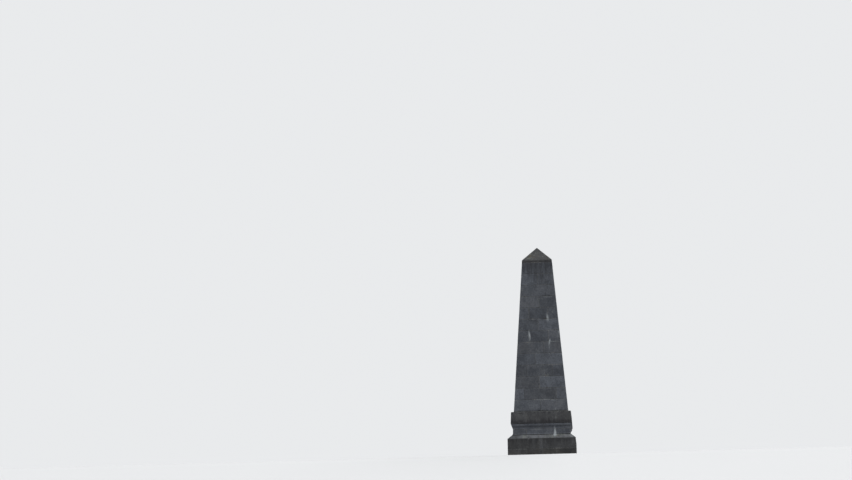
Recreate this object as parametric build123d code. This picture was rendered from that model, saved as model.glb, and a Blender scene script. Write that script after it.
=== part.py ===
# A free-standing stone obelisk in coursed ashlar, from the ground up: a low base step, a plinth in two
# courses with a weathered top, a short battered die, a moulded bed course, a heavy battered cap with a
# sloped wash, a shaft of thirteen tapering courses, and a capstone that ends in a low pyramid.
# Every pedestal course is four stones laid round a core of backing masonry. On two opposite sides the
# stones run the full length and carry the return of the face round the corner, and the other two stones
# are let in between them. The long stones change sides from course to course, so that no upright joint
# stands over another. Each stone seats face to face on the course below, and the bed joints show as a
# fine V where the arrises of two courses are eased.
# Millimetres, +Z up, origin on the ground at the centre of the base, front face towards -Y.
from build123d import *
import os

# Shaft and capstone
shaft_foot_width = 2552
shaft_head_width = 1428
shaft_course_height = 555
shaft_course_count = 13
capstone_band_height = 130
pyramid_height = 720
pyramid_tip_width = 28

# Cap, the block that the shaft stands on
cap_height = 555
cap_ledge = 129
cap_batter = 30
cap_wash_rise = 25
cap_soffit_depth = 25

# Moulded bed course under the cap
bed_mould_height = 260
bed_mould_projection = 76
bed_fillet_height = 24

# Die
die_height = 220
die_batter = 11
die_fillet_height = 35
die_fillet_projection = 20

# Plinth and base step
weathering_run = 228
weathering_rise = 195
plinth_upper_height = 490
plinth_lower_height = 490
base_step_projection = 240
base_step_height = 260

# Masonry
core_width = 1400
upright_joint = 6
arris_ease = 8

# Half widths that follow from the sizes above, from the shaft outwards and downwards
shaft_foot_half = shaft_foot_width / 2
shaft_head_half = shaft_head_width / 2
cap_head_half = shaft_foot_half + cap_ledge
cap_foot_half = cap_head_half + cap_batter
bed_head_half = cap_foot_half - cap_soffit_depth
die_head_half = bed_head_half - bed_mould_projection
die_foot_half = die_head_half + die_batter
die_fillet_half = die_foot_half + die_fillet_projection
plinth_half = die_fillet_half + weathering_run
base_step_half = plinth_half + base_step_projection
core_half = core_width / 2

# Heights of the beds, from the ground up
plinth_lower_bed = base_step_height
plinth_upper_bed = plinth_lower_bed + plinth_lower_height
weathering_foot = plinth_upper_bed + plinth_upper_height
die_bed = weathering_foot + weathering_rise
bed_mould_bed = die_bed + die_fillet_height + die_height
cap_bed = bed_mould_bed + bed_mould_height
cap_edge = cap_bed + cap_height
shaft_bed = cap_edge + cap_wash_rise
capstone_bed = shaft_bed + shaft_course_count * shaft_course_height
shoulder_height = capstone_bed + capstone_band_height
apex_height = shoulder_height + pyramid_height

# The taper of the shaft runs on through the band of the capstone
shaft_taper = (shaft_foot_half - shaft_head_half) / (shoulder_height - shaft_bed)


def shaft_half_at(height):
    return shaft_foot_half - (height - shaft_bed) * shaft_taper


# A body of square plan whose four faces all follow one outline. The outline is the right-hand side of the
# front view, drawn upwards, and the body is where two such bars cross, so the corners come out true.
def square_body(outline):
    other_side = mirror(outline, about=Plane.YZ)
    foot = Line(other_side @ 0, outline @ 0)
    head = Line(outline @ 1, other_side @ 1)
    front_view = make_face([*foot.edges(), *outline.edges(), *head.edges(), *other_side.edges()])
    reach = front_view.bounding_box().size.X
    bar_along_y = extrude(Plane.XZ * front_view, amount=reach, both=True)
    bar_along_x = extrude(Plane.YZ * front_view, amount=reach, both=True)
    return bar_along_y & bar_along_x


# A straight-sided outline from one bed to the next, with both arrises eased
def eased_outline(foot_half, foot_height, head_half, head_height):
    lean = (head_half - foot_half) / (head_height - foot_height)
    return Polyline(
        (foot_half - arris_ease, foot_height),
        (foot_half + lean * arris_ease, foot_height + arris_ease),
        (head_half - lean * arris_ease, head_height - arris_ease),
        (head_half - arris_ease, head_height),
    )


def base_step_body():
    return square_body(eased_outline(base_step_half, 0, base_step_half, base_step_height))


def plinth_lower_body():
    return square_body(eased_outline(plinth_half, plinth_lower_bed, plinth_half, plinth_upper_bed))


# The upper plinth course carries the weathering, which sheds water from the foot of the die
def plinth_upper_body():
    return square_body(
        Polyline(
            (plinth_half - arris_ease, plinth_upper_bed),
            (plinth_half, plinth_upper_bed + arris_ease),
            (plinth_half, weathering_foot),
            (die_fillet_half, die_bed),
        )
    )


def die_body():
    fillet_top = die_bed + die_fillet_height
    return square_body(
        Polyline(
            (die_fillet_half, die_bed),
            (die_fillet_half, fillet_top),
            (die_foot_half, fillet_top),
            (die_head_half + arris_ease * die_batter / die_height, bed_mould_bed - arris_ease),
            (die_head_half - arris_ease, bed_mould_bed),
        )
    )


# The bed mould is a reversed ogee: hollow below, where it leaves the die, and round above, under a fillet
def bed_mould_body():
    ogee_top = cap_bed - bed_fillet_height
    foot = (die_head_half, bed_mould_bed + arris_ease)
    middle = ((die_head_half + bed_head_half) / 2, (foot[1] + ogee_top) / 2)
    head = (bed_head_half, ogee_top)
    eased_foot = Line((die_head_half - arris_ease, bed_mould_bed), foot)
    hollow = TangentArc(foot, middle, tangent=(0, 1))
    round_part = TangentArc(middle, head, tangent=hollow % 1)
    fillet = Line(head, (bed_head_half, cap_bed))
    return square_body(Curve() + [eased_foot, hollow, round_part, fillet])


# The cap is battered like the shaft, and its top falls away from the shaft on all four sides
def cap_body():
    lean = cap_batter / cap_height
    return square_body(
        Polyline(
            (cap_foot_half - arris_ease, cap_bed),
            (cap_foot_half - lean * arris_ease, cap_bed + arris_ease),
            (cap_head_half + lean * arris_ease, cap_edge - arris_ease),
            (cap_head_half - arris_ease, cap_edge),
            (shaft_foot_half, shaft_bed),
        )
    )


def shaft_course_body(number):
    foot = shaft_bed + (number - 1) * shaft_course_height
    head = foot + shaft_course_height
    return square_body(eased_outline(shaft_half_at(foot), foot, shaft_half_at(head), head))


def capstone_body():
    return square_body(
        Polyline(
            (shaft_half_at(capstone_bed) - arris_ease, capstone_bed),
            (shaft_half_at(capstone_bed + arris_ease), capstone_bed + arris_ease),
            (shaft_head_half, shoulder_height),
            (pyramid_tip_width / 2, apex_height),
        )
    )


def pedestal_core_body():
    return Box(core_width, core_width, shaft_bed, align=(Align.CENTER, Align.CENTER, Align.MIN))


# Cuts a pedestal course into its four stones. The long stones lie outside the core on two opposite
# sides, and the stones let in between them stop short of them by an upright joint at each end.
def four_stones(body, long_front_and_back):
    size = body.bounding_box().size
    reach = max(size.X, size.Y)
    bed = body.bounding_box().min.Z
    outward = reach / 2 - core_half
    long_block = Box(reach, outward, size.Z, align=(Align.CENTER, Align.MAX, Align.MIN))
    short_block = Box(core_width - 2 * upright_joint, outward, size.Z, align=(Align.CENTER, Align.MAX, Align.MIN))
    stones = {}
    for turn, side in enumerate(("front", "right", "back", "left")):
        is_long = (side in ("front", "back")) == long_front_and_back
        block = Pos(0, -core_half, bed) * (long_block if is_long else short_block)
        stones[side] = body & (Rot(0, 0, 90 * turn) * block)
    return stones


pieces = {}
pedestal_courses = (
    ("base_step", base_step_body()),
    ("plinth_lower", plinth_lower_body()),
    ("plinth_upper", plinth_upper_body()),
    ("die", die_body()),
    ("bed_mould", bed_mould_body()),
    ("cap", cap_body()),
)
for level, (course_name, course_body) in enumerate(pedestal_courses):
    for side, stone in four_stones(course_body, long_front_and_back=level % 2 == 0).items():
        pieces[f"{course_name}_{side}"] = stone
pieces["pedestal_core"] = pedestal_core_body()
for number in range(1, shaft_course_count + 1):
    pieces[f"shaft_course_{number:02d}"] = shaft_course_body(number)
pieces["capstone"] = capstone_body()

os.makedirs("parts", exist_ok=True)
for node, shape in pieces.items():
    export_step(shape, f"parts/{node}.step")
print(f"{len(pieces)} nodes, {apex_height:g} mm high, {2 * base_step_half:g} mm wide at the foot")
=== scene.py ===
import bpy
import math
import random
import numpy as np
from mathutils import Matrix, Vector


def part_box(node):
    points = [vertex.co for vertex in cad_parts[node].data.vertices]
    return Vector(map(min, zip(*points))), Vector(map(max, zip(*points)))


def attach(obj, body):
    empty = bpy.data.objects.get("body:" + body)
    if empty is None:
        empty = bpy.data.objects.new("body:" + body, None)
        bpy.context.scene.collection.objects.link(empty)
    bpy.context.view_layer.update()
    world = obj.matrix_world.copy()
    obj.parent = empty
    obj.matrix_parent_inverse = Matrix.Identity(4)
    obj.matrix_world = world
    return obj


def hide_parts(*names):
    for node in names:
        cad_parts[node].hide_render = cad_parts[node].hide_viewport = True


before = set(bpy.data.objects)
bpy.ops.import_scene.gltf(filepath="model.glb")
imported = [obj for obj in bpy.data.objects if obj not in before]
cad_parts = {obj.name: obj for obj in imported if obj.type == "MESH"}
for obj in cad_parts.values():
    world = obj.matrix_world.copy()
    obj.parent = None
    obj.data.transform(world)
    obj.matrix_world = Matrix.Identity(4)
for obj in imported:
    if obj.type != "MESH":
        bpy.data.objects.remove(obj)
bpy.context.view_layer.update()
scene = bpy.context.scene

# A stone obelisk, each course dressed with its own stones: closed blocks with worn arrises, set in recessed
# mortar. Lengths are in metres, the ground is z = 0 and the front faces -Y.
sideNames = ("front", "right", "back", "left")
alongAxis = np.array([(1, 0, 0), (0, 1, 0), (-1, 0, 0), (0, -1, 0)], dtype=float)
outwardAxis = np.array([(0, -1, 0), (1, 0, 0), (0, 1, 0), (-1, 0, 0)], dtype=float)
carriedValues = ("tone", "wear", "lime", "margin")  # what the mesh tells the shaders, point by point

dressing = {
    "jointWidth": 0.01,  # clear width of a mortar joint
    "jointDepth": 0.007,  # how far the mortar stands back from the face, at least
    "stoneDepth": 0.12,  # how far a stone reaches in behind its face
    "arrisRadius": 0.009,
    "meshStep": 0.026,
    "mortarStep": 0.05,
    "edgeSteps": (0.012, 0.032),  # extra mesh lines beside a worn edge
    "arcSteps": (0.33, 0.67, 1.0),  # where the rounding of a bed arris gets its mesh lines
    "marginWidth": 0.05,  # the smooth border that the chisel leaves round a tooled face
    "unevenness": 0.002,
    "chipDepth": 0.012,
    "spallDepth": 0.04,
    "lippage": 0.0025,  # stones never sit quite flush
    "sealedHalf": 0.1,  # rings of stone and mortar close this far from the monument's axis
    "mortarArris": 0.002,
    "mortarFoot": 0.004,  # mortar stays this far above the ground
    "mortarHollow": 0.01,  # how much further back the mortar has weathered in places
    "mortarLoss": 0.85,  # how much of the depth of a spall the mortar behind it has lost
    "mortarLime": 0.8,
}

# Lime washed out of the joints: side, distance along the face, top, length, width, strength, and how far
# down it is brightest. The runs in front stand where the faint pale marks show.
limeRuns = [
    ("front", 0.43, 7.4, 0.82, 0.135, 0.6, 0.5),
    ("front", -0.45, 6.56, 1.0, 0.12, 0.75, 0.35),
    ("front", 0.5, 6.05, 0.95, 0.13, 0.6, 0.16),
    ("front", 0.925, 6.46, 0.66, 0.115, 0.46, 0.2),
    ("front", 0.63, 1.9, 0.66, 0.135, 0.95, 0.76),
    ("front", 0.67, 2.48, 0.5, 0.15, 0.26, 0.6),
    ("front", 0.68, 2.78, 0.27, 0.15, 0.34, 0.7),
    ("front", -0.1, 8.62, 0.4, 0.06, 0.22, 0.2),
    ("right", -0.38, 8.08, 0.75, 0.085, 0.55, 0.15),
    ("right", 0.52, 6.41, 0.9, 0.095, 0.55, 0.4),
    ("right", 0.05, 4.74, 0.6, 0.08, 0.45, 0.2),
    ("right", -0.72, 1.86, 0.6, 0.11, 0.75, 0.65),
    ("right", 0.86, 5.3, 0.5, 0.07, 0.4, 0.1),
    ("back", 0.3, 7.52, 0.95, 0.09, 0.58, 0.3),
    ("back", -0.55, 5.86, 0.8, 0.085, 0.55, 0.15),
    ("back", 0.7, 4.19, 0.55, 0.08, 0.45, 0.2),
    ("back", -0.15, 1.84, 0.55, 0.105, 0.65, 0.7),
    ("left", -0.25, 6.97, 0.85, 0.085, 0.58, 0.2),
    ("left", 0.46, 5.3, 0.75, 0.095, 0.52, 0.35),
    ("left", -0.8, 3.64, 0.55, 0.07, 0.45, 0.1),
    ("left", 0.6, 1.8, 0.48, 0.11, 0.7, 0.7),
]
# Beds that bleed lime: side, start and end along the face, height, strength
limeBeds = [
    ("front", -0.25, 0.5, 3.085, 0.5),
    ("front", -0.25, 0.1, 5.305, 0.35),
    ("front", 0.34, 0.97, 5.86, 0.5),
    ("right", -0.6, 0.1, 4.195, 0.6),
    ("right", 0.1, 0.55, 6.97, 0.45),
    ("back", 0.05, 0.8, 3.64, 0.6),
    ("back", -0.5, -0.05, 5.86, 0.5),
    ("left", -0.3, 0.45, 4.75, 0.6),
    ("left", 0.0, 0.5, 7.525, 0.45),
]
# How a run wanders, widens, fades out and thins to its sides, and how softly a bleeding bed ends
limeShape = {
    "wander": 0.012, "waves": 9, "waveShift": 20, "narrowest": 0.6, "startStrength": 0.2, "fade": 1.5,
    "sharpness": 2.5, "bedReach": 0.016, "bedEnd": 0.12, "bedLeast": 0.3,
}

# How the stones wear. A field is a smooth noise: size in metres, seed and strength. A reach is how far from
# an arris something still shows.
wearing = {
    "fields": {
        "broad": (0.34, 3, 0.5), "fine": (0.07, 5, 0.25), "rubbed": (0.12, 19, 0.45),
        "chips": (0.09, 7, 0.6), "chipEdges": (0.035, 11, 0.5), "mortar": (0.31, 23, 1),
        "spalls": (0.31, 13, 1), "spallEdges": (0.05, 17, 0.3),
    },
    "evenShare": 0.75,  # the strengths of broad and fine together, so that no face is raised
    "rubbedShare": 0.55,
    "hollowShare": 0.3,
    "chipFrom": 0.12,  # chips and spalls begin where their fields pass these
    "spallFrom": 0.62,
    "chipReach": 0.016,
    "spallReach": 0.05,
    "rubbedReach": 0.02,
    "freshness": 25,  # how much fresh stone a break shows, for each metre of its depth
}
mixFactors = (374761393, 668265263, 2147483647)  # these mix the place of a cell and a seed into one number
seedFactor = 1274126177


# Smooth value noise on an array of points, the same on every run
def latticeValue(cell, seed):
    cell = cell.astype(np.int64)
    mixed = sum(cell[..., axis] * factor for axis, factor in enumerate(mixFactors)) + seed * seedFactor
    mixed = ((mixed ^ (mixed >> 13)) * seedFactor) & 0x7FFFFFFFFFFF
    mixed = (mixed ^ (mixed >> 16)) & 0xFFFF
    return mixed / 32767.5 - 1.0


def field(points, name):
    size, seed, strength = wearing["fields"][name]
    scaled = points / size
    cell = np.floor(scaled)
    part = scaled - cell
    ease = part * part * (3 - 2 * part)
    total = np.zeros(points.shape[:-1])
    for corner in np.ndindex(2, 2, 2):
        weight = np.prod(np.where(np.array(corner) == 1, ease, 1 - ease), axis=-1)
        total += weight * latticeValue(cell + np.array(corner), seed)
    return strength * total


def above(values, threshold):
    return np.clip((values - threshold) / (1 - threshold), 0, None)


# Mesh lines along a stretch: close together near its two worn ends, even between them
def meshLines(length, wornStart, wornEnd, step):
    start = [0.0]
    end = [length]
    for reach in dressing["edgeSteps"]:
        if reach < length / 3:
            if wornStart:
                start.append(reach)
            if wornEnd:
                end.insert(0, length - reach)
    count = max(1, math.ceil((end[0] - start[-1]) / step))
    between = [start[-1] + (end[0] - start[-1]) * i / count for i in range(1, count)]
    return start + between + end


def arcRows(start, corner, following, tangent):
    after = following - corner
    end = corner + after / np.linalg.norm(after) * tangent
    return [(1 - t) ** 2 * start + 2 * t * (1 - t) * corner + t * t * end for t in dressing["arcSteps"]]


# The section of a course from bed to bed, as rows of a mesh, with each row's distance from the nearest worn
# arris. A corner is (half width, height, rounding). The first and last stretch are hidden in the beds.
def sectionRows(corners, step):
    points = [np.array(corner[:2], dtype=float) for corner in corners]
    tangents = []
    for k, corner in enumerate(corners):
        if corner[2] == 0:
            tangents.append(0.0)
            continue
        before = points[k] - points[k - 1]
        after = points[k + 1] - points[k]
        turn = math.acos(np.clip(before @ after / np.linalg.norm(before) / np.linalg.norm(after), -1, 1))
        tangents.append(corner[2] * math.tan(turn / 2))
    rows = [points[0]]
    wear = [1.0]
    for k in range(len(points) - 1):
        direction = points[k + 1] - points[k]
        length = np.linalg.norm(direction)
        direction = direction / length
        first = points[k] + direction * tangents[k]
        clear = length - tangents[k] - tangents[k + 1]
        wornStart = corners[k][2] > 0
        wornEnd = corners[k + 1][2] > 0
        hidden = k in (0, len(points) - 2)
        lines = [0.0, clear] if hidden else meshLines(clear, wornStart, wornEnd, step)
        for line in lines[1:]:
            rows.append(first + direction * line)
            fromStart = line + tangents[k] if wornStart else 1.0
            fromEnd = clear - line + tangents[k + 1] if wornEnd else 1.0
            wear.append(min(fromStart, fromEnd))
        if wornEnd:
            rows += arcRows(rows[-1], points[k + 1], points[k + 2], tangents[k + 1])
            wear += [0.0, 0.0, tangents[k + 1]]
    return np.array(rows), np.array(wear)


# Mesh columns of a stone that runs along one or more sides. A leg is (side, start, end), where None means
# the corner of the monument. A ring goes round all four sides without an end. Each column is (side, share
# of the leg, start, end, sink, distance from the nearest upright arris).
def stoneColumns(legs, half, radius, step, ring):
    def eased(angle):
        return radius * (1 - math.sin(math.radians(angle))), radius * (1 - math.cos(math.radians(angle)))

    opening = [eased(angle) for angle in (90, 60, 30)]  # a free end is rounded in three steps
    turning, middle = [eased(22.5)], [eased(45)]  # and a corner of the monument in four
    columns = []
    for number, (side, start, end) in enumerate(legs):
        low = -half if start is None else start
        high = half if end is None else end
        length = high - low
        flat = [(line + radius, 0.0) for line in meshLines(length - 2 * radius, True, True, step)]
        before = opening if number == 0 and not ring else turning
        after = turning + middle if number < len(legs) - 1 or ring else opening[::-1]
        after = [(length - place, sink) for place, sink in after]
        for place, sink in [*before, *flat, *after]:
            columns.append((side, place / length, start, end, sink, min(place, length - place)))
    return columns


def stoneGrid(legs, corners, radius, step, ring=False):
    rows, rowWear = sectionRows(corners, step)
    widest = rows[:, 0].max()
    side, share, starts, ends, sink, columnWear = zip(*stoneColumns(legs, widest, radius, step, ring))
    side, share, sink, columnWear = (np.array(values) for values in (side, share, sink, columnWear))
    halfWidth = rows[:, 0][:, None]
    start = np.array([[-half if place is None else place for place in starts] for half in rows[:, 0]])
    end = np.array([[half if place is None else place for place in ends] for half in rows[:, 0]])
    along = start + (end - start) * share
    out = halfWidth - sink * np.minimum(1, halfWidth / widest)
    points = along[..., None] * alongAxis[side] + out[..., None] * outwardAxis[side]
    points[..., 2] = rows[:, 1][:, None]
    wear = np.minimum(rowWear[:, None], columnWear[None, :])
    return points, wear, np.broadcast_to(side, wear.shape), along


def outwardNormals(points, ring):
    grid = np.concatenate([points[:, -1:], points, points[:, :1]], axis=1) if ring else points
    normal = np.cross(np.gradient(grid, axis=1), np.gradient(grid, axis=0))
    normal = normal / np.maximum(np.linalg.norm(normal, axis=-1, keepdims=True), 1e-9)
    return normal[:, 1:-1] if ring else normal


# How deep the arrises have spalled at each point, as a share of the depth in the dressing
def spalled(points):
    spalls = field(points, "spalls") + field(points, "spallEdges")
    return np.minimum(above(spalls, wearing["spallFrom"]), 1.0)


# Breaks go in square to the face, and turn to the diagonal at a corner, so that its two faces don't cross
def inwards(points, side, along):
    fromCorner = np.maximum(np.sum(points * outwardAxis[side], axis=-1) - np.abs(along), 0)
    turn = np.sign(along) * np.exp(-((fromCorner / wearing["spallReach"]) ** 2))
    way = outwardAxis[side] + turn[..., None] * alongAxis[side]
    return -way / np.linalg.norm(way, axis=-1, keepdims=True)


# Wear only takes stone away, so a stone stays inside the size that the frame gives it
def weathered(points, wear, side, along, ring, damage):
    normal = outwardNormals(points, ring)
    chip = above(field(points, "chips") + field(points, "chipEdges"), wearing["chipFrom"])
    chips = dressing["chipDepth"] * chip * np.exp(-wear / wearing["chipReach"])
    spalls = dressing["spallDepth"] * spalled(points) * np.exp(-((wear / wearing["spallReach"]) ** 2))
    broken = damage * (chips + spalls)
    uneven = dressing["unevenness"] * (wearing["evenShare"] + field(points, "broad") + field(points, "fine"))
    for depth in (broken, uneven):
        depth[0] = 0
        depth[-1] = 0
    rubbed = np.exp(-wear / wearing["rubbedReach"]) * (wearing["rubbedShare"] + field(points, "rubbed"))
    moved = points - normal * uneven[..., None] + inwards(points, side, along) * broken[..., None]
    return moved, np.clip(rubbed + wearing["freshness"] * broken, 0, 1)


def limeOn(side, along, height):
    narrow, early = limeShape["narrowest"], limeShape["startStrength"]
    mask = np.zeros(height.shape)
    for name, centre, top, length, width, strength, crest in limeRuns:
        wave = np.sin(height * limeShape["waves"] + centre * limeShape["waveShift"])
        drift = centre + limeShape["wander"] * wave
        fallen = (top - height) / length
        spread = width * (narrow + (1 - narrow) * np.clip(fallen, 0, 1))
        across = np.exp(-(((along - drift) / spread) ** 2) * limeShape["sharpness"])
        swelling = np.clip(fallen / crest, 0, 1)
        fading = np.clip((1 - fallen) / (1 - crest), 0, 1)
        down = np.where(fallen < 0, 0, (early + (1 - early) * swelling) * fading ** limeShape["fade"])
        mask = np.maximum(mask, strength * across * down * (side == sideNames.index(name)))
    for name, start, end, bed, strength in limeBeds:
        ends = np.minimum(along - start, end - along) / limeShape["bedEnd"] + limeShape["bedLeast"]
        ends = np.clip(ends, 0, 1)
        across = np.exp(-(((height - bed) / limeShape["bedReach"]) ** 2))
        mask = np.maximum(mask, strength * ends * across * (side == sideNames.index(name)))
    return mask


def newMasonry():
    masonry = {label: [] for label in ("points", "faces", "faceMortar", *carriedValues)}
    masonry["count"] = 0
    return masonry


# Adds a closed block: its dressed face, then its back and two ends or, on a ring, its two beds
def addBlock(masonry, points, values, isMortar, ring):
    rows, columns = points.shape[:2]
    index = np.arange(rows * columns).reshape(rows, columns) + masonry["count"]
    if ring:
        index = np.concatenate([index, index[:, :1]], axis=1)
    face = np.stack([index[:-1, :-1], index[:-1, 1:], index[1:, 1:], index[1:, :-1]], axis=-1)
    faces = face.reshape(-1, 4).tolist()
    if ring:
        faces += [index[0, :-1][::-1].tolist(), index[-1, :-1].tolist()]
    else:
        back = np.stack([index[0, 1:], index[0, :-1], index[-1, :-1], index[-1, 1:]], axis=-1)
        faces += back.tolist() + [index[:, 0].tolist(), index[:, -1][::-1].tolist()]
    masonry["points"].append(points.reshape(-1, 3))
    masonry["faces"] += faces
    masonry["faceMortar"] += [isMortar] * len(faces)
    for label in carriedValues:
        masonry[label].append(np.broadcast_to(values.get(label, 0.0), (rows, columns)).reshape(-1))
    masonry["count"] += rows * columns


def addStone(masonry, legs, corners, rng, damage=1.0, ring=False):
    radius, step = dressing["arrisRadius"], dressing["meshStep"]
    points, wear, side, along = stoneGrid(legs, corners, radius, step, ring)
    values = {
        "tone": rng.random(),
        "lime": limeOn(side, along, points[..., 2]),
        "margin": np.clip(wear / dressing["marginWidth"], 0, 1),
    }
    points, values["wear"] = weathered(points, wear, side, along, ring, damage)
    if not ring:
        points = points - outwardAxis[side] * dressing["lippage"] * rng.random()
    addBlock(masonry, points, values, False, ring)


# Mortar fills the course behind the faces and shows only in the joints
def addMortar(masonry, legs, corners, ring=False):
    corners = inset(corners, dressing["jointDepth"])
    section = [(half, max(height, dressing["mortarFoot"]), 0) for half, height, _ in corners]
    points, _, side, along = stoneGrid(legs, section, dressing["mortarArris"], dressing["mortarStep"], ring)
    values = {"tone": 0.5, "lime": dressing["mortarLime"] * limeOn(side, along, points[..., 2])}
    depth = dressing["mortarHollow"] * np.clip(wearing["hollowShare"] + field(points, "mortar"), 0, 1)
    depth += dressing["mortarLoss"] * dressing["spallDepth"] * spalled(points)
    addBlock(masonry, points + inwards(points, side, along) * depth[..., None], values, True, ring)


# A section moved in behind its face, without its roundings. The beds keep their heights.
def inset(corners, depth):
    moved = []
    last = len(corners) - 1
    for k, (half, height, _) in enumerate(corners):
        normals = []
        for a, b in ((k - 1, k), (k, k + 1)):
            if a >= 1 and b <= last - 1:
                run = np.array(corners[b][:2]) - np.array(corners[a][:2])
                normals.append(np.array((run[1], -run[0])) / np.linalg.norm(run))
        if not normals:
            moved.append((half - depth, height, 0))
            continue
        push = sum(normals) / (1 + normals[0] @ normals[-1] if len(normals) == 2 else 1)
        if k in (1, last - 1):
            moved.append((half - depth * max(push[0], 0.5), height, 0))
        else:
            moved.append((half - depth * max(push[0], 0), height - depth * push[1], 0))
    return moved


def addObject(name, data):
    added = bpy.data.objects.new(name, data)
    scene.collection.objects.link(added)
    return added


def addMesh(name, points, faces):
    mesh = bpy.data.meshes.new(name)
    mesh.from_pydata(points, [], faces)
    mesh.polygons.foreach_set("use_smooth", [True] * len(faces))
    return addObject(name, mesh), mesh


def makePiece(name, masonry, node, stone):
    piece, mesh = addMesh(name, np.concatenate(masonry["points"]), masonry["faces"])
    mesh.polygons.foreach_set("material_index", np.array(masonry["faceMortar"], dtype=np.int32))
    for label in carriedValues:
        layer = mesh.attributes.new(label, "FLOAT", "POINT")
        layer.data.foreach_set("value", np.concatenate(masonry[label]).astype(np.float32))
    mesh.materials.append(stone)
    mesh.materials.append(materials["mortar"])
    mesh.update()
    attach(piece, "root")
    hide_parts(node)


# Noises of the shaders: patches in a metre, detail, roughness and, where one is remapped, its range as below.
# Three numbers for the patches draw a noise out upright or flat.
noises = {
    "stoneBroad": (2.3, 6.0, 0.6),
    "stoneMiddle": (13.0, 6.0, 0.68),
    "stoneCrystals": (105.0, 3.0, 0.75),
    "chiselStrokes": ((85.0, 85.0, 7.5), 2.0, 0.5, 0.3, 0.7),
    "rubbedOut": (3.1, 3.0, 0.55, 0.35, 0.62, 0.25, 1.0),
    "rainRuns": ((8.0, 8.0, 0.42), 5.0, 0.6),
    "rainThreads": ((36.0, 36.0, 1.5), 3.0, 0.6),
    "edgeDirtAndShade": (5.0, 4.0, 0.6, 0.34, 0.52, 0.6, 1.0),
    "sootClouds": (0.95, 5.0, 0.6, 0.47, 0.66),
    "washedAndLit": (4.5, 6.0, 0.68, 0.38, 0.6, 0.45, 1.0),
    "lichenWobble": (24.0, 4.0, 0.5),
    "lichenColonies": (1.6, 5.0, 0.65),
    "lichenCrust": (55.0, 4.0, 0.7),
    "lichenOchre": (2.7, 2.0, 0.55, 0.58, 0.66),
    "brokenEdges": (21.0, 4.0, 0.65, 0.38, 0.62, 0.2, 1.0),
    "limeThreads": ((55.0, 55.0, 2.4), 4.0, 0.6, 0.34, 0.64, -0.75, 0.05),
    "limeCrust": (38.0, 4.0, 0.65, 0.3, 0.68, -0.2, 0.2),
    "soilClouds": ((2.6, 2.6, 4.0), 5.0, 0.65),
    "pointing": (1.1, 4.0, 0.55, 0.42, 0.6),
}
cellSizes = {"stonePores": 46.0, "lichenRosettes": 10.0, "lichenDots": 27.0}  # also patches in a metre
# How values are remapped: from and to, and what these become where that isn't 0 and 1
ranges = {
    "mottle": (0.36, 0.64), "pores": (0.05, 0.24), "tooled": (0.66, 0.82),
    "drips": (1.0, 0.0), "edgeDirtAndShade": (1.0, 0.2), "overEdge": (-0.9, 0.0),
    "paintedUndersideShade": (-0.35, -0.85, 0.0, 0.6), "upwardWashAndLight": (0.22, 0.6), "cleaner": (0.46, 0.34, 0.0, 0.28),
    "lichenLight": (0.0, 0.5, 0.0, 0.13), "rosette": (-0.04, 0.07), "greying": (0.05, 0.3, 1.0, 0.62),
    "crustGaps": (0.35, 0.6, 0.3, 1.0), "crustShade": (0.3, 0.7, 0.75, 1.2),
    "limeEdge": (-0.15, 0.85), "limeStrength": (0.0, 0.7, 0.0, 0.9), "splash": (1.15, 0.15),
    "toneShade": (0.0, 1.0, 0.8, 1.2), "speckleShade": (0.28, 0.68, 0.74, 1.24),
    "strokeShade": (0.0, 0.8, 0.9, 1.12), "marginShade": (0.0, 1.0, 1.07, 1.0),
    "mortarShade": (0.35, 0.65, 0.8, 1.25), "mortarRough": (0.3, 0.7, 0.88, 0.98),
}
# How much of each value goes into a sum. The reliefs are in metres.
weights = {
    "mottle": (0.45, 0.55), "grainRelief": (0.005, 0.0013, 0.0014), "speckle": (1.0, 0.2),
    "ragged": (3.4, 1.6), "cleaner": (0.55, 0.45), "raggedTop": (1.0, 2.2), "raggedLime": (1.9, 1.0),
}
relief = {"lichen": 0.0015, "lime": 0.0012}
raggedDirt = 0.35
dripStrength = 0.75
lichenShape = {"wobble": 0.045, "from": 0.56, "reach": {"lichenRosettes": 3.2, "lichenDots": 4.6}}


# Starts a group. Its position, and each input without a value, is a vector; the others are numbers.
def nodeGroup(name, inputs):
    tree = bpy.data.node_groups.new(name, "ShaderNodeTree")
    for label, value in {"Position": None, **inputs}.items():
        kind = "NodeSocketVector" if value is None else "NodeSocketFloat"
        socket = tree.interface.new_socket(label, in_out="INPUT", socket_type=kind)
        if value is not None:
            socket.default_value = value
    return tree, tree.nodes.new("NodeGroupInput").outputs


def give(tree, **results):
    for label in results:
        tree.interface.new_socket(label, in_out="OUTPUT", socket_type="NodeSocketFloat")
    addNode("NodeGroupOutput", results)


# Gives an input a number, a vector, a colour or a link
def feed(node, place, value):
    entry = node.inputs[place]
    if isinstance(value, bpy.types.NodeSocket):
        node.id_data.links.new(value, entry)
    else:
        entry.default_value = (*value, 1.0) if entry.type == "RGBA" else value


# Adds a node to a tree or, without one, to the tree of the sockets among its inputs
def addNode(kind, inputs=None, tree=None, **settings):
    if tree is None:
        tree = next(value for value in inputs.values() if isinstance(value, bpy.types.NodeSocket)).id_data
    node = tree.nodes.new(kind)
    for key, value in settings.items():
        setattr(node, key, value)
    for place, value in (inputs or {}).items():
        feed(node, place, value)
    return node


def calc(operation, *values, clamp=False):
    return addNode("ShaderNodeMath", dict(enumerate(values)), operation=operation, use_clamp=clamp).outputs[0]


# An operation on two or more values, from the left
def inTurn(operation):
    def combine(result, *others):
        for other in others:
            result = calc(operation, result, other)
        return result

    return combine


plus, minus, times, larger = (inTurn(name) for name in ("ADD", "SUBTRACT", "MULTIPLY", "MAXIMUM"))


def weighed(name, *values):
    return plus(*(times(value, weight) for value, weight in zip(values, weights[name])))


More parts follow.
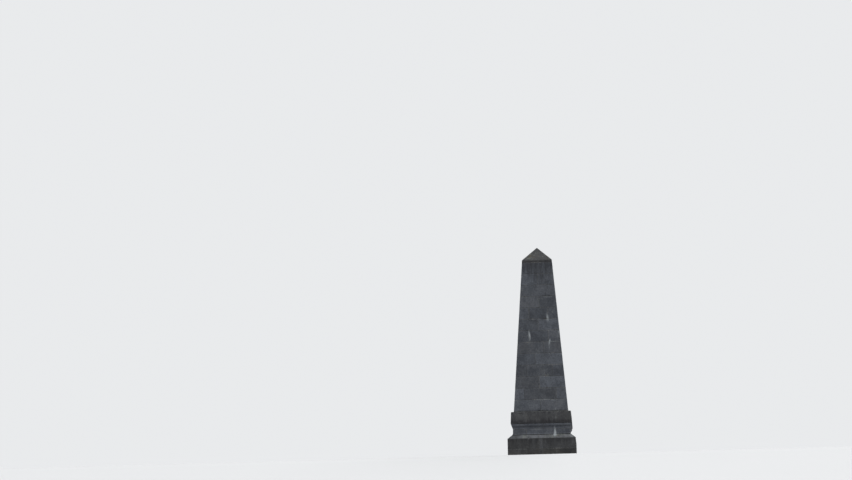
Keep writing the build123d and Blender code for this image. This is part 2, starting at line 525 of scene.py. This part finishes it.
def spread(value, low, high, toLow=0.0, toHigh=1.0):
    inputs = {0: value, 1: low, 2: high, 3: toLow, 4: toHigh}
    return addNode("ShaderNodeMapRange", inputs, interpolation_type="SMOOTHSTEP").outputs[0]


def remap(value, name):
    return spread(value, *ranges[name])


def blend(factor, first, second, mode="MIX"):
    inputs = {0: factor, 6: first, 7: second}
    return addNode("ShaderNodeMix", inputs, data_type="RGBA", blend_type=mode).outputs[2]


def stretched(position, scale):
    return addNode("ShaderNodeVectorMath", {0: position, 1: scale}, operation="MULTIPLY").outputs[0]


def noise(position, name, output=0):
    scale, detail, roughness, *span = noises[name]
    if isinstance(scale, tuple):
        position, scale = stretched(position, scale), 1.0
    inputs = {"Vector": position, "Scale": scale, "Detail": detail, "Roughness": roughness}
    found = addNode("ShaderNodeTexNoise", inputs).outputs[output]
    return spread(found, *span) if span else found


def cells(position, name):
    return addNode("ShaderNodeTexVoronoi", {"Vector": position, "Scale": cellSizes[name]}).outputs


def upPart(vector):
    return addNode("ShaderNodeSeparateXYZ", {0: vector}).outputs["Z"]


print("stage 1: shader groups")


# Mottling, crystals and pores of the stone
def makeStoneGrain():
    tree, given = nodeGroup("stoneGrain", {"Grain": 1.0})
    position = given["Position"]
    names = ("stoneBroad", "stoneMiddle", "stoneCrystals")
    broad, middle, crystals = (noise(position, name) for name in names)
    mottle = remap(weighed("mottle", broad, middle), "mottle")
    pores = remap(cells(position, "stonePores")["Distance"], "pores")
    speckle = weighed("speckle", crystals, minus(pores, 1.0))
    height = times(weighed("grainRelief", middle, crystals, pores), given["Grain"])
    give(tree, Mottle=mottle, Speckle=speckle, Height=height)


# Fine upright strokes of the chisel, half rubbed out by the weather, inside a smooth margin
def makeToolMarks():
    tree, given = nodeGroup("toolMarks", {"Margin": 1.0, "Depth": 0.0010})
    strokes, rubbed = (noise(given["Position"], name) for name in ("chiselStrokes", "rubbedOut"))
    field = remap(given["Margin"], "tooled")
    stroke = times(strokes, rubbed, field)
    give(tree, Stroke=stroke, Field=field, Height=times(stroke, given["Depth"]))


# Faces that look up are washed by the rain and also get painted light, and faces that look down get painted
# shade.
# Dark drips hang from the ledge above, dirt gathers over the lower edge (painted shade at the cap's foot),
# and both end raggedly.
def makeRainAndSoot():
    inputs = {
        "Facing": None, "Ledge Height": 10.0, "Drip Length": 0.5,
        "Edge Height": 0.0, "Edge Reach": 0.2, "Clouds": 0.25,
    }
    tree, given = nodeGroup("rainAndSoot", inputs)
    position = given["Position"]
    facing = upPart(given["Facing"])
    place = upPart(position)
    runs, threads = (noise(position, name) for name in ("rainRuns", "rainThreads"))
    ragged = weighed("ragged", minus(runs, 0.5), minus(threads, 0.5))

    below = calc("DIVIDE", minus(given["Ledge Height"], place), given["Drip Length"])
    drips = remap(minus(below, ragged), "drips")
    drips = times(drips, calc("GREATER_THAN", below, 0.0), dripStrength)
    # Darkening over the lower edge: dirt, and painted shade along the foot of the cap's face
    over = calc("DIVIDE", minus(place, given["Edge Height"]), given["Edge Reach"])
    edgeDirtAndShade = remap(minus(over, times(ragged, raggedDirt)), "edgeDirtAndShade")
    edgeDirtAndShade = times(edgeDirtAndShade, remap(over, "overEdge"), noise(position, "edgeDirtAndShade"))
    clouds = times(noise(position, "sootClouds"), given["Clouds"])
    # Darkening from drips, dirt and soot clouds, with painted shade on faces that look down
    sootAndShade = larger(drips, edgeDirtAndShade, remap(facing, "paintedUndersideShade"), clouds)

    cleaner = remap(weighed("cleaner", runs, threads), "cleaner")
    # Paler faces: rain-washed runs, and painted light on faces that look up
    upwardWashAndLight = times(remap(facing, "upwardWashAndLight"), noise(position, "washedAndLit"))
    washedAndLit = times(larger(upwardWashAndLight, cleaner), minus(1.0, sootAndShade))
    give(tree, Washed=washedAndLit, Soot=sootAndShade)


# Crusty lichen in rosettes, which grey from the middle, and in small dots, thickest on faces that look up
def makeLichen():
    tree, given = nodeGroup("lichen", {"Facing": None, "Amount": 0.5})
    position = given["Position"]
    wobble = stretched(noise(position, "lichenWobble", "Color"), (lichenShape["wobble"],) * 3)
    moved = addNode("ShaderNodeVectorMath", {0: position, 1: wobble}, operation="ADD").outputs[0]
    colony = minus(noise(position, "lichenColonies"), lichenShape["from"])
    wanted = plus(colony, remap(upPart(given["Facing"]), "lichenLight"))
    wanted = times(wanted, given["Amount"])
    masks = []
    shades = []
    for name, reach in lichenShape["reach"].items():
        spots = cells(moved, name)
        grade = addNode("ShaderNodeSeparateColor", {0: spots["Color"]}).outputs[0]
        inside = minus(times(wanted, times(grade, reach)), spots["Distance"])
        masks.append(remap(inside, "rosette"))
        shades.append(remap(inside, "greying"))
    crust = noise(position, "lichenCrust")
    mask = times(larger(*masks), remap(crust, "crustGaps"))
    shade = times(calc("MINIMUM", *shades), remap(crust, "crustShade"))
    ochre = noise(position, "lichenOchre")
    height = times(mask, relief["lichen"])
    give(tree, Mask=mask, Shade=shade, Ochre=ochre, Height=height)


# Pale rubbed arrises and fresh chips, from the wear that the mesh carries; the pale arrises are also a
# painted highlight along the edges
def makeEdgeWearAndHighlight():
    tree, given = nodeGroup("edgeWearAndHighlight", {"Wear": 0.0, "Amount": 1.0})
    mask = times(given["Wear"], noise(given["Position"], "brokenEdges"))
    give(tree, Mask=calc("MULTIPLY", mask, given["Amount"], clamp=True))


# Lime run out of the joints and dried in pale streaks
def makeLimeStreak():
    tree, given = nodeGroup("limeStreak", {"Lime": 0.0})
    threads, crust = (noise(given["Position"], name) for name in ("limeThreads", "limeCrust"))
    edge = weighed("raggedLime", given["Lime"], plus(threads, crust))
    mask = times(remap(edge, "limeEdge"), remap(given["Lime"], "limeStrength"))
    give(tree, Mask=mask, Height=times(mask, relief["lime"]))


# Soil and rain splashed up from the ground, ragged at its top
def makeSplash():
    tree, given = nodeGroup("groundSplash", {"Reach": 0.5})
    cloud = minus(noise(given["Position"], "soilClouds"), 0.5)
    height = calc("DIVIDE", upPart(given["Position"]), given["Reach"])
    give(tree, Mask=remap(weighed("raggedTop", height, cloud), "splash"))


for makeGroup in (
    makeStoneGrain, makeToolMarks, makeRainAndSoot, makeLichen, makeEdgeWearAndHighlight, makeLimeStreak, makeSplash
):
    makeGroup()


# What a material hands to its groups: where a point is, which way it faces, or a value that the mesh carries
def source(tree, label):
    if label == "Position":
        return addNode("ShaderNodeTexCoord", tree=tree).outputs["Object"]
    if label == "Facing":
        return addNode("ShaderNodeNewGeometry", tree=tree).outputs["Normal"]
    return addNode("ShaderNodeAttribute", tree=tree, attribute_name=label.lower()).outputs["Fac"]


def placeGroup(tree, name, values=None):
    node = addNode("ShaderNodeGroup", values, tree, node_tree=bpy.data.node_groups[name])
    for label in node.inputs.keys():
        if label in ("Position", "Facing") or label.lower() in carriedValues:
            feed(node, label, source(tree, label))
    return node.outputs


def tinted(colour, shade):
    grey = addNode("ShaderNodeCombineColor", {0: shade, 1: shade, 2: shade}).outputs[0]
    return blend(1.0, colour, grey, "MULTIPLY")


def newMaterial(name, roughness, specular=0.2):
    material = bpy.data.materials.new(name)
    material.use_nodes = True
    shader = material.node_tree.nodes["Principled BSDF"]
    feed(shader, "Roughness", roughness)
    feed(shader, "Specular IOR Level", specular)
    return material, material.node_tree, shader


def finishSurface(shader, colour, rough, height):
    bump = addNode("ShaderNodeBump", {"Strength": 1.0, "Distance": 1.0, "Height": height}).outputs[0]
    for place, socket in (("Base Color", colour), ("Roughness", rough), ("Normal", bump)):
        feed(shader, place, socket)


# Each kind of stone. Darkening hangs from "ledge" and gathers above "edge", and a "splash" of soil reaches
# up.
stoneLooks = {
    "shaftStone": {
        "dark": (0.033, 0.037, 0.0445), "pale": (0.062, 0.0685, 0.0805), "warm": (0.057, 0.0585, 0.0625),
        "washedAndLit": (0.084, 0.0905, 0.102), "wornAndHighlit": (0.115, 0.122, 0.133),
        "ledge": 9.88, "drip": 1.25, "edge": 2.5, "edgeReach": 0.1, "clouds": 0.3,
        "tooling": 0.0016, "lichen": 0.75, "wear": 0.8,
    },
    "dieStone": {
        "dark": (0.037, 0.041, 0.05), "pale": (0.066, 0.0735, 0.087), "warm": (0.059, 0.062, 0.068),
        "washedAndLit": (0.087, 0.0945, 0.107), "wornAndHighlit": (0.115, 0.122, 0.133),
        # The ledge and drip darken the top 5 cm of the bed mould, just under the cap.
        "ledge": 1.96, "drip": 0.05, "edge": 1.4, "edgeReach": 0.03, "clouds": 0.15,
        "tooling": 0.001, "lichen": 0.6, "wear": 0.8,
    },
    "capCourseStone": {
        "dark": (0.027, 0.028, 0.0305), "pale": (0.05, 0.052, 0.056), "warm": (0.046, 0.0455, 0.0445),
        "washedAndLit": (0.078, 0.081, 0.086), "wornAndHighlit": (0.105, 0.108, 0.114),
        # The darkening above its edge is painted shade along the foot of the cap's face.
        "ledge": 2.5, "drip": 0.1, "edge": 1.94, "edgeReach": 0.3, "clouds": 0.25,
        "tooling": 0.0013, "lichen": 1.15, "wear": 0.9,
    },
    "plinthStone": {
        "dark": (0.0225, 0.0233, 0.0247), "pale": (0.041, 0.0424, 0.045), "warm": (0.0375, 0.037, 0.035),
        # Its washed colour is far paler than the other stones': rain-washing, and painted light on the
        # weathering that looks up.
        "washedAndLit": (0.108, 0.113, 0.123), "wornAndHighlit": (0.09, 0.093, 0.097),
        "ledge": 1.23, "drip": 0.3, "edge": 1.425, "edgeReach": 0.04, "clouds": 0.35,
        "tooling": 0.0013, "lichen": 1.15, "wear": 0.9, "splash": 0.62,
    },
    "baseStone": {
        "dark": (0.027, 0.028, 0.0285), "pale": (0.049, 0.05, 0.051), "warm": (0.046, 0.044, 0.04),
        "washedAndLit": (0.07, 0.0705, 0.071), "wornAndHighlit": (0.09, 0.092, 0.094),
        "ledge": 0.24, "drip": 0.05, "edge": -1.0, "edgeReach": 0.1, "clouds": 0.35,
        "tooling": 0.0013, "lichen": 1.1, "wear": 0.9, "splash": 0.4,
    },
    "capstoneStoneWithPaintedShade": {
        # Darker than the shaft stone, as painted shade on the pyramid; its washed colour stays near its pale.
        "dark": (0.024, 0.0246, 0.026), "pale": (0.041, 0.0424, 0.044), "warm": (0.04, 0.0392, 0.038),
        "washedAndLit": (0.042, 0.043, 0.0448), "wornAndHighlit": (0.09, 0.092, 0.095),
        # These darken the whole upright band below the pyramid.
        "ledge": 9.86, "drip": 0.1, "edge": 9.74, "edgeReach": 0.12, "clouds": 0.45,
        # The stronger wear paints highlights along the pyramid's hips.
        "tooling": 0.0008, "lichen": 0.9, "wear": 1.2,
    },
}
mortarLook = {
    "dark": (0.03, 0.03, 0.0295), "pale": (0.054, 0.0535, 0.051),
    "pointing": (0.15, 0.149, 0.144),  # pale pointing is left in places
    "grain": 1.6,
}
stains = {
    # The soot colour also paints shade, on faces that look down and along the foot of the cap
    "sootAndShade": (0.011, 0.011, 0.0125),
    "lime": (0.255, 0.275, 0.288),
    "lichenPale": (0.155, 0.168, 0.145),
    "lichenOchre": (0.128, 0.103, 0.05),
    "soil": (0.07, 0.064, 0.053),
}
# How much of the stone each of them hides at its strongest
cover = {"washedAndLit": 0.8, "soil": 0.6, "sootAndShade": 0.82, "wornAndHighlit": 0.65, "lichen": 0.75, "lime": 0.9}
# All stones share these. The warmth of each is the fraction of its tone times the steps.
surface = {
    "warmth": 0.75, "warmthSteps": 7.3, "roughness": 0.92, "washedSmoother": 0.12, "speckleSmoother": 0.1
}


def makeStone(name, look):
    material, tree, shader = newMaterial(name, 0.85)
    tone = source(tree, "tone")
    grain = placeGroup(tree, "stoneGrain")
    tool = placeGroup(tree, "toolMarks", {"Depth": look["tooling"]})
    values = {
        "Ledge Height": look["ledge"], "Drip Length": look["drip"], "Edge Height": look["edge"],
        "Edge Reach": look["edgeReach"], "Clouds": look["clouds"],
    }
    rainSootAndLight = placeGroup(tree, "rainAndSoot", values)
    lichen = placeGroup(tree, "lichen", {"Amount": look["lichen"]})
    wear = placeGroup(tree, "edgeWearAndHighlight", {"Amount": look["wear"]})
    lime = placeGroup(tree, "limeStreak")

    def covered(under, mask, layer, over):
        return blend(times(mask, cover[layer]), under, over)

    warmth = times(calc("FRACT", times(tone, surface["warmthSteps"])), surface["warmth"])
    colour = blend(grain["Mottle"], look["dark"], blend(warmth, look["pale"], look["warm"]))
    # Rain-washed faces, paler also as painted light where they look up
    colour = covered(colour, rainSootAndLight["Washed"], "washedAndLit", look["washedAndLit"])
    shade = times(
        remap(tone, "toneShade"), remap(grain["Speckle"], "speckleShade"),
        remap(tool["Stroke"], "strokeShade"), remap(tool["Field"], "marginShade"),
    )
    colour = tinted(colour, shade)
    if "splash" in look:
        splash = placeGroup(tree, "groundSplash", {"Reach": look["splash"]})
        colour = covered(colour, splash["Mask"], "soil", stains["soil"])
    # Soot, drips and dirt, with painted shade on faces that look down and along the foot of the cap
    colour = covered(colour, rainSootAndLight["Soot"], "sootAndShade", stains["sootAndShade"])
    # Pale worn arrises and fresh breaks, also a painted highlight along the edges
    colour = covered(colour, wear["Mask"], "wornAndHighlit", look["wornAndHighlit"])
    growth = blend(lichen["Ochre"], stains["lichenPale"], stains["lichenOchre"])
    colour = covered(colour, lichen["Mask"], "lichen", tinted(growth, lichen["Shade"]))
    colour = covered(colour, lime["Mask"], "lime", stains["lime"])

    rough = minus(
        surface["roughness"], times(rainSootAndLight["Washed"], surface["washedSmoother"]),
        times(grain["Speckle"], surface["speckleSmoother"]),
    )
    height = plus(*(layer["Height"] for layer in (grain, tool, lichen, lime)))
    finishSurface(shader, colour, rough, height)
    return material


def makeMortar():
    material, tree, shader = newMaterial("jointMortar", 0.95)
    grain = placeGroup(tree, "stoneGrain", {"Grain": mortarLook["grain"]})
    lime = placeGroup(tree, "limeStreak")
    pointing = noise(source(tree, "Position"), "pointing")
    pale = blend(pointing, mortarLook["pale"], mortarLook["pointing"])
    colour = blend(grain["Mottle"], mortarLook["dark"], pale)
    colour = tinted(colour, remap(grain["Speckle"], "mortarShade"))
    colour = blend(lime["Mask"], colour, stains["lime"])
    finishSurface(shader, colour, remap(grain["Speckle"], "mortarRough"), grain["Height"])
    return material


materials = {name: makeStone(name, look) for name, look in stoneLooks.items()}
materials["mortar"] = makeMortar()

print("stage 2: pedestal")
halfJoint = dressing["jointWidth"] / 2
stoneDepth = dressing["stoneDepth"]
arris = dressing["arrisRadius"]
sealed = dressing["sealedHalf"]
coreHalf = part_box("pedestal_core")[1][0]
shaftCourses = sorted(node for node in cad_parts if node.startswith("shaft_course"))


def halfOf(node):
    low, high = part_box(node)
    return max(high[0] - low[0], high[1] - low[1]) / 2


def bedsOf(node):
    low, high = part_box(node)
    return low[2], high[2]


def courseHalf(course):
    return max(halfOf(f"{course}_{side}") for side in sideNames)


shaftFoot = bedsOf(shaftCourses[0])[0]
widthChange = halfOf(shaftCourses[0]) - halfOf(shaftCourses[-1])
taper = widthChange / (bedsOf(shaftCourses[-1])[0] - shaftFoot)


def shaftHalf(height):
    return halfOf(shaftCourses[0]) - (height - shaftFoot) * taper


pedestal = {
    "weatheringRise": 0.195,
    "dieFilletHeight": 0.035,
    "dieFilletProjection": 0.02,
    "dieFilletSlope": 0.001,
    "dieBatter": 0.011,
    "bedMouldFillet": 0.024,
    "ogeePull": 0.56,  # how upright the ogee leaves the die and meets the fillet
    "ogeeSteps": 7,
    "capBatter": 0.03,
    "capWashRise": 0.025,
    "hiddenLap": 0.03,  # how far an upper surface runs in under the next course
    "stepBack": 0.74,  # the base step's stones reach in to here, so that its underside is closed
    "shortReach": 0.1,  # a stone that reaches less than this past the core stands between long ones
    "seed": 7,
}


# A section from the line of its face, with beds as deep as the stones
def sectionOf(*face, inner=None):
    (foot, low, _), (head, high, _) = face[0], face[-1]
    return [(foot - stoneDepth if inner is None else inner, low, 0), *face, (head - stoneDepth, high, 0)]


def courseSections():
    courses = ("base_step", "plinth_lower", "die", "bed_mould", "cap")
    stepHalf, plinthHalf, filletHalf, mouldHalf, capHalf = map(courseHalf, courses)
    dieFoot = filletHalf - pedestal["dieFilletProjection"]
    dieHead = dieFoot - pedestal["dieBatter"]
    sections = {}

    low, high = bedsOf("base_step_front")
    sections["base_step"] = sectionOf(
        (stepHalf, low, arris), (stepHalf, high, 2 * arris), (plinthHalf - pedestal["hiddenLap"], high, 0),
        inner=pedestal["stepBack"],
    )
    low, high = bedsOf("plinth_lower_front")
    sections["plinth_lower"] = sectionOf(
        (plinthHalf, low + halfJoint, arris), (plinthHalf, high - halfJoint, arris)
    )
    low, high = bedsOf("plinth_upper_front")
    edge = high - pedestal["weatheringRise"]
    sections["plinth_upper"] = sectionOf(
        (plinthHalf, low + halfJoint, arris), (plinthHalf, edge, 2 * arris), (filletHalf, high, 0)
    )
    low, high = bedsOf("die_front")
    filletTop = low + pedestal["dieFilletHeight"]
    sections["die"] = sectionOf(
        (filletHalf, low + halfJoint / 2, arris / 2), (filletHalf, filletTop, arris),
        (dieFoot, filletTop + pedestal["dieFilletSlope"], 0), (dieHead, high - halfJoint, arris),
    )
    low, high = bedsOf("bed_mould_front")
    ogee = ogeeCurve((dieHead, low + 2 * halfJoint), (mouldHalf, high - pedestal["bedMouldFillet"]))
    sections["bed_mould"] = sectionOf(
        (dieHead, low + halfJoint, arris / 3), *ogee, (mouldHalf, high - halfJoint, arris / 2)
    )
    low, high = bedsOf("cap_front")
    edge = high - pedestal["capWashRise"]
    capHead = capHalf - pedestal["capBatter"]
    sections["cap"] = sectionOf(
        (capHalf, low, 2 * arris), (capHead, edge, 2 * arris), (shaftHalf(shaftFoot), high, 0)
    )
    return sections


# The reversed ogee of the bed mould: a hollow that leaves the die upright, then a round up to the fillet
def ogeeCurve(foot, head):
    foot, head = np.array(foot), np.array(head)
    middle = (foot + head) / 2
    corners = [(*foot, 0)]
    for start, end in ((foot, middle), (middle, head)):
        upright = np.array((0, (end - start)[1] * pedestal["ogeePull"]))
        control = start + upright if end is middle else end - upright
        for i in range(1, pedestal["ogeeSteps"] + 1):
            t = i / pedestal["ogeeSteps"]
            corners.append((*((1 - t) ** 2 * start + 2 * t * (1 - t) * control + t * t * end), 0))
    return corners


# Mortar fills the bed joints too, so its section is as high as the course. Only under the overhanging cap
# does it stay up behind the stones.
def mortarSection(course, corners):
    low, high = bedsOf(f"{course}_front")
    foot = low + dressing["jointDepth"] if course == "cap" else low
    heights = [foot, foot, *[corner[1] for corner in corners[2:-2]], high, high]
    return [(half, height, rounding) for (half, _, rounding), height in zip(corners, heights)]


# The stone of each pedestal course, and where along the face its long stones are jointed
pedestalCourses = {
    "base_step": ("baseStone", (-0.62, 0.62)),
    "plinth_lower": ("plinthStone", (0.0,)),
    "plinth_upper": ("plinthStone", (-0.12,)),
    "die": ("dieStone", (0.0,)),
    "bed_mould": ("dieStone", (0.1,)),
    "cap": ("capCourseStone", (0.0,)),
}


def dressPedestal():
    for level, (course, corners) in enumerate(courseSections().items()):
        look, joints = pedestalCourses[course]
        filling = mortarSection(course, corners)
        for number, sideName in enumerate(sideNames):
            node = f"{course}_{sideName}"
            rng = random.Random(100 * level + number + pedestal["seed"])
            low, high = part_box(node)
            reach = (high[0] - low[0], high[1] - low[1])[number % 2] / 2
            before, after = (number - 1) % 4, (number + 1) % 4
            masonry = newMasonry()
            if reach < coreHalf + pedestal["shortReach"]:
                addStone(masonry, [(number, -coreHalf + halfJoint, coreHalf - halfJoint)], corners, rng)
                addMortar(masonry, [(number, -coreHalf, coreHalf)], filling)
            else:
                start = [(before, coreHalf + halfJoint, None), (number, None, joints[0] - halfJoint)]
                end = [(number, joints[-1] + halfJoint, None), (after, None, -coreHalf - halfJoint)]
                addStone(masonry, start, corners, rng)
                for a, b in zip(joints, joints[1:]):
                    addStone(masonry, [(number, a + halfJoint, b - halfJoint)], corners, rng)
                addStone(masonry, end, corners, rng)
                whole = [(before, coreHalf, None), (number, None, None), (after, None, -coreHalf)]
                addMortar(masonry, whole, filling)
            makePiece(f"{node}_stones", masonry, node, materials[look])


dressPedestal()

print("stage 3: shaft")
# How the stones of each shaft course meet, from the foot up: the pair of sides that is jointed near its
# middle, that joint's distance from the centre, and how far the corner stones return round the corner.
# A return of None means that two stones make the whole course.
shaftBond = [
    ("front", 0.0, 0.42),
    ("sides", 0.03, 0.47),
    ("front", -0.04, 0.4),
    ("sides", 0.0, 0.52),
    ("front", -0.2, 0.38),
    ("front", 0.22, 0.6),
    ("sides", 0.03, 0.55),
    ("front", -0.02, 0.36),
    ("sides", 0.0, 0.47),
    ("front", 0.05, 0.34),
    ("sides", -0.04, None),
    ("front", 0.0, None),
    ("sides", 0.06, None),
]
shaftSeed = 900
everySide = [(side, None, None) for side in range(4)]


def courseStones(jointSides, shift, returned, half):
    first = 0 if jointSides == "front" else 1
    stones = []
    for side in (first, (first + 2) % 4):
        after, before = (side + 1) % 4, (side + 3) % 4
        if returned is None:
            end = ((side + 2) % 4, None, shift - halfJoint)
            stones.append([(side, shift + halfJoint, None), (after, None, None), end])
            continue
        stones.append([(side, shift + halfJoint, None), (after, None, -half + returned - halfJoint)])
        stones.append([(before, half - returned + halfJoint, None), (side, None, shift - halfJoint)])
        stones.append([(after, -half + returned + halfJoint, half - returned - halfJoint)])
    return stones


def dressShaft():
    for number, (node, bond) in enumerate(zip(shaftCourses, shaftBond)):
        rng = random.Random(shaftSeed + number)
        low, high = bedsOf(node)
        foot, head = shaftHalf(low), shaftHalf(high)
        corners = sectionOf((foot, low + halfJoint, arris), (head, high - halfJoint, arris))
        masonry = newMasonry()
        for legs in courseStones(*bond, (foot + head) / 2):
            addStone(masonry, legs, corners, rng)
        backing = [(sealed, low, 0), (foot, low, 0), (head, high, 0), (sealed, high, 0)]
        addMortar(masonry, everySide, backing, ring=True)
        makePiece(f"{node}_stones", masonry, node, materials["shaftStone"])


dressShaft()

print("stage 4: capstone")
capstone = {"bandHeight": 0.130, "tipHalf": 0.012, "damage": 0.8, "mortarHeight": 0.05, "seed": 5}


def dressCapstone():
    low, high = bedsOf("capstone")
    foot, tip = shaftHalf(low), capstone["tipHalf"]
    shoulder = low + capstone["bandHeight"]
    corners = [
        (sealed, low + halfJoint, 0), (foot, low + halfJoint, arris), (shaftHalf(shoulder), shoulder, arris),
        (tip, high, 0), (tip / 3, high, 0),
    ]
    masonry = newMasonry()
    rng = random.Random(capstone["seed"])
    addStone(masonry, everySide, corners, rng, capstone["damage"], ring=True)
    bed = low + capstone["mortarHeight"]
    filling = [(sealed, low, 0), (foot, low, 0), (foot, bed, 0), (sealed, bed, 0)]
    addMortar(masonry, everySide, filling, ring=True)
    makePiece("capstone_dressed", masonry, "capstone", materials["capstoneStoneWithPaintedShade"])


dressCapstone()
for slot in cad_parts["pedestal_core"].material_slots:
    slot.material = materials["mortar"]

print("stage 5: floor, light and camera")
stage = {
    "crest": -7.3,  # the floor falls away towards the camera from here
    "fall": 0.215,
    "bend": 0.5,  # how softly it starts to fall
    "lowest": -26.0,
    "reach": 420.0,
    "flatLines": (-60.0, -30.0, 0.0, 30.0),
    "bendLines": (-14.0, -4.0, 0.25),  # mesh lines across the bend: from, to and spacing
    "floorColour": (0.645, 0.65, 0.655),
    "backdrop": 0.84,
    "backdropColour": (0.97, 0.985, 1.0),
    "ambientColour": (0.95, 0.975, 1.0),
    "ambient": 0.34,
}


def makeFloor():
    reach, bend = stage["reach"], stage["bend"]
    points = []
    for y in sorted([-reach, *stage["flatLines"], *np.arange(*stage["bendLines"]).tolist(), reach]):
        drop = bend * np.logaddexp(0, (stage["crest"] - y) / bend)
        z = max(-stage["fall"] * drop, stage["lowest"])
        points += [(-reach, y, z), (reach, y, z)]
    faces = [(k, k + 1, k + 3, k + 2) for k in range(0, len(points) - 2, 2)]
    floor, mesh = addMesh("floor", points, faces)
    material, _, shader = newMaterial("paleFloor", 0.9, 0.1)
    feed(shader, "Base Color", stage["floorColour"])
    mesh.materials.append(material)


def makeWorld():
    world = bpy.data.worlds.new("studio")
    scene.world = world
    world.use_nodes = True
    tree = world.node_tree
    tree.nodes.clear()
    path = addNode("ShaderNodeLightPath", tree=tree).outputs
    seen = larger(path["Is Camera Ray"], path["Is Glossy Ray"], path["Is Transmission Ray"])
    ambient, backdrop = (
        addNode("ShaderNodeBackground", {0: stage[f"{name}Colour"], 1: stage[name]}, tree).outputs[0]
        for name in ("ambient", "backdrop")
    )
    mix = addNode("ShaderNodeMixShader", {0: seen, 1: ambient, 2: backdrop})
    addNode("ShaderNodeOutputWorld", {0: mix.outputs[0]})


# name, strength, softness in degrees, direction round from the front and height in degrees
lamps = [
    ("keyLight", 2.75, 22, -38, 42),
    ("fillLight", 0.45, 50, 55, 25),
    ("backLight", 1.2, 40, 160, 38),
]
lampDistance = 30


def makeLamps():
    for name, strength, softness, around, height in lamps:
        light = bpy.data.lights.new(name, "SUN")
        light.energy = strength
        light.angle = math.radians(softness)
        lamp = addObject(name, light)
        a, h = math.radians(around), math.radians(height)
        towards = Vector((math.sin(a) * math.cos(h), -math.cos(a) * math.cos(h), math.sin(h)))
        lamp.rotation_mode = "QUATERNION"
        lamp.rotation_quaternion = towards.to_track_quat("Z", "Y")
        lamp.location = towards * lampDistance


# Where the photograph was taken from: far off and about nine metres lower, looking up
viewpoint = {
    "distance": 94.94,
    "drop": 8.542,  # below the ground at the monument
    "around": 1.5,  # degrees to the right of square on
    "yaw": -4.731,  # degrees, turned left of square on
    "tilt": 11.7,
    "roll": -1.026,
    "focalPixels": 2000.0,
    "framePixels": 852.0,
    "sensor": 36.0,
    "clipEnd": 1000.0,
}


def makeCamera():
    data = bpy.data.cameras.new("camera")
    data.sensor_fit = "HORIZONTAL"
    data.sensor_width = viewpoint["sensor"]
    data.lens = viewpoint["focalPixels"] * viewpoint["sensor"] / viewpoint["framePixels"]
    data.clip_end = viewpoint["clipEnd"]
    around, yaw, tilt, roll = (math.radians(viewpoint[key]) for key in ("around", "yaw", "tilt", "roll"))
    forward = Vector((math.sin(yaw) * math.cos(tilt), math.cos(yaw) * math.cos(tilt), math.sin(tilt)))
    level = Vector((math.cos(yaw), -math.sin(yaw), 0))
    upright = level.cross(forward)
    right = level * math.cos(roll) + upright * math.sin(roll)
    up = upright * math.cos(roll) - level * math.sin(roll)
    camera = addObject("camera", data)
    camera.matrix_world = Matrix((right, up, -forward)).transposed().to_4x4()
    distance = viewpoint["distance"]
    camera.location = (distance * math.sin(around), -distance * math.cos(around), -viewpoint["drop"])
    scene.camera = camera


makeFloor()
makeWorld()
makeLamps()
makeCamera()
scene.view_settings.view_transform = "Standard"
